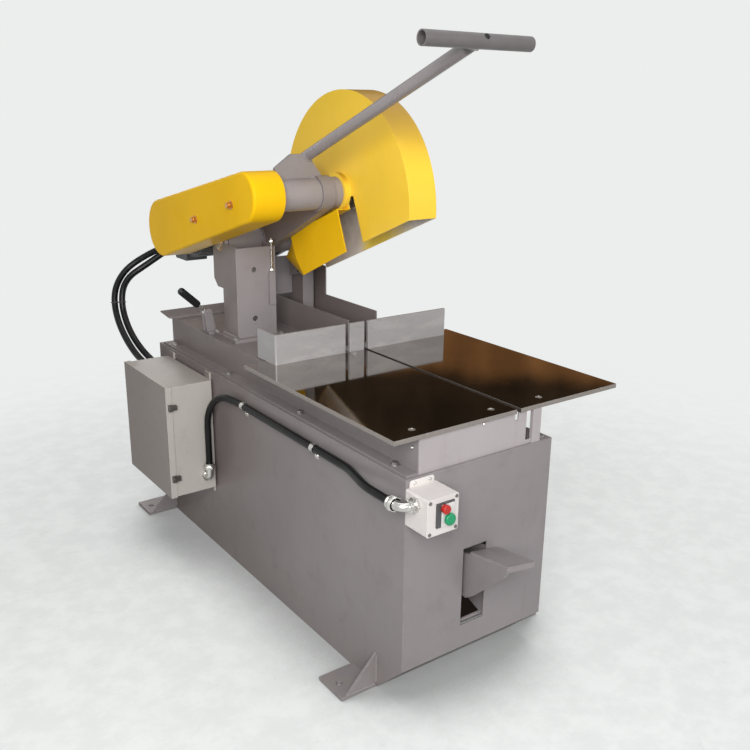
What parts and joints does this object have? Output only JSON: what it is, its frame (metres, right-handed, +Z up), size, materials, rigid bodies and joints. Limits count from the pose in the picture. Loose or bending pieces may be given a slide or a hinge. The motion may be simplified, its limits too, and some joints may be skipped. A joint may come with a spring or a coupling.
{
  "type": "abrasive cut-off saw",
  "caption": "Floor-standing abrasive chop saw: steel cabinet, slotted table and fence, belt-driven swinging head with yellow guards, pull handle, foot pedal and side control box.",
  "frame": {"origin": "on the floor, at the centre of the four floor bolt holes", "axes": "+X to the right of a person at the handle, +Y to the back of the machine, +Z up"},
  "size_m": [0.924, 1.9397, 1.6645],
  "materials": {
    "gray_paint": "satin machine enamel",
    "yellow_paint": "semi-gloss safety enamel",
    "table_steel": "dark ground steel, reflective",
    "fence_steel": "satin machine enamel",
    "box_paint": "light gray powder coat",
    "switch_paint": "light gray powder coat",
    "bright_zinc": "bright zinc plate",
    "dark_bolts": "black oxide",
    "shaft_steel": "turned steel",
    "bronze": "machined bronze",
    "brass_plate": "yellow zinc plate",
    "cast_pulley": "machined grooves, raw sides",
    "belt_rubber": "matt",
    "cable_black": "satin jacket",
    "conduit_black": "satin jacket",
    "grip_black": "satin",
    "motor_paint": "dark gray enamel",
    "starter_plastic": "moulded",
    "stop_red": "moulded",
    "start_green": "moulded",
    "bumper_rubber": "matt"
  },
  "bodies": {
    "base": {"cabinet_front_panel": "gray_paint", "cabinet_left_side": "gray_paint", "cabinet_rear_panel": "gray_paint", "cabinet_right_side": "gray_paint", "cabinet_top_plate": "gray_paint", "conduit": "conduit_black", "conduit_fittings": "bright_zinc", "control_box": "box_paint", "control_box_brackets": "box_paint", "fence_centre": "fence_steel", "fence_left": "fence_steel", "fence_right": "fence_steel", "floor_feet": "gray_paint", "frame_front_plate": "gray_paint", "lever_bracket": "gray_paint", "machine_bolts": "dark_bolts", "motor_cable_far": "cable_black", "motor_cable_near": "cable_black", "motor_starter": "starter_plastic", "pedal_mount": "gray_paint", "pivot_bushes": "bronze", "pivot_column": "gray_paint", "pivot_post": "gray_paint", "spark_deck": "gray_paint", "spark_wall_centre": "gray_paint", "spark_wall_right": "gray_paint", "stop_bumper": "bumper_rubber", "switch_box": "switch_paint", "switch_cover": "switch_paint", "table_left_plate": "table_steel", "table_right_plate": "table_steel", "table_screws": "dark_bolts", "upper_frame": "gray_paint"},
    "head": {"pivot_shaft": "shaft_steel", "head_arm": "gray_paint", "spindle_housing": "gray_paint", "spindle_bearings": "shaft_steel", "belt_guard_plate": "yellow_paint", "belt_guard_cover": "yellow_paint", "belt_guard_nuts": "brass_plate", "drive_belts": "belt_rubber", "wheel_guard": "yellow_paint", "spark_chute": "yellow_paint", "handle_bracket": "gray_paint", "handle": "gray_paint", "motor_body": "motor_paint", "motor_fan_cover": "motor_paint", "motor_cable_box": "motor_paint"},
    "spindle": {"spindle_shaft": "shaft_steel", "spindle_pulley": "cast_pulley", "wheel_flanges": "shaft_steel"},
    "rotor": {"motor_shaft": "shaft_steel", "motor_pulley": "cast_pulley"},
    "pedal": {"foot_pedal": "gray_paint"},
    "lever": {"clamp_lever": "bright_zinc", "clamp_grip": "grip_black"},
    "cover": {"control_box_cover": "box_paint", "cover_clamps": "bright_zinc"},
    "stop_button": {"stop_button": "stop_red"},
    "start_button": {"start_button": "start_green"}
  },
  "joints": [
    {"name": "head_swing", "type": "hinge", "parent": "base", "child": "head", "pos_m": [0, 0.332, 1.06], "axis": [1, 0, 0], "range_deg": [0, 29], "deforming": ["motor_cable_near", "motor_cable_far"]},
    {"name": "spindle_spin", "type": "hinge", "parent": "head", "child": "spindle", "pos_m": [0, -0.056, 1.247], "axis": [1, 0, 0], "continuous": true},
    {"name": "motor_spin", "type": "hinge", "parent": "head", "child": "rotor", "pos_m": [0, 0.571, 1.087], "axis": [1, 0, 0], "continuous": true},
    {"name": "pedal_press", "type": "hinge", "parent": "base", "child": "pedal", "pos_m": [0, -0.578, 0.2951], "axis": [1, 0, 0], "range_deg": [0, 18], "stiffness_Nm_per_rad": 40, "springref_deg": -22.92},
    {"name": "lever_swing", "type": "hinge", "parent": "base", "child": "lever", "pos_m": [-0.192, 0.376, 0.818], "axis": [0, 1, 0], "range_deg": [-30, 35]},
    {"name": "cover_swing", "type": "hinge", "parent": "base", "child": "cover", "pos_m": [-0.394, 0.5926, 0.4285], "axis": [0, 0, -1], "range_deg": [0, 110]},
    {"name": "stop_press", "type": "slide", "parent": "base", "child": "stop_button", "axis": [0, 1, 0], "range_m": [0, 0.004], "stiffness_N_per_m": 700, "springref_m": -0.003},
    {"name": "start_press", "type": "slide", "parent": "base", "child": "start_button", "axis": [0, 1, 0], "range_m": [0, 0.004], "stiffness_N_per_m": 700, "springref_m": -0.003}
  ],
  "couplings": [
    {"joint": "spindle_spin", "follows": "motor_spin", "ratio": 1.4545}
  ]
}
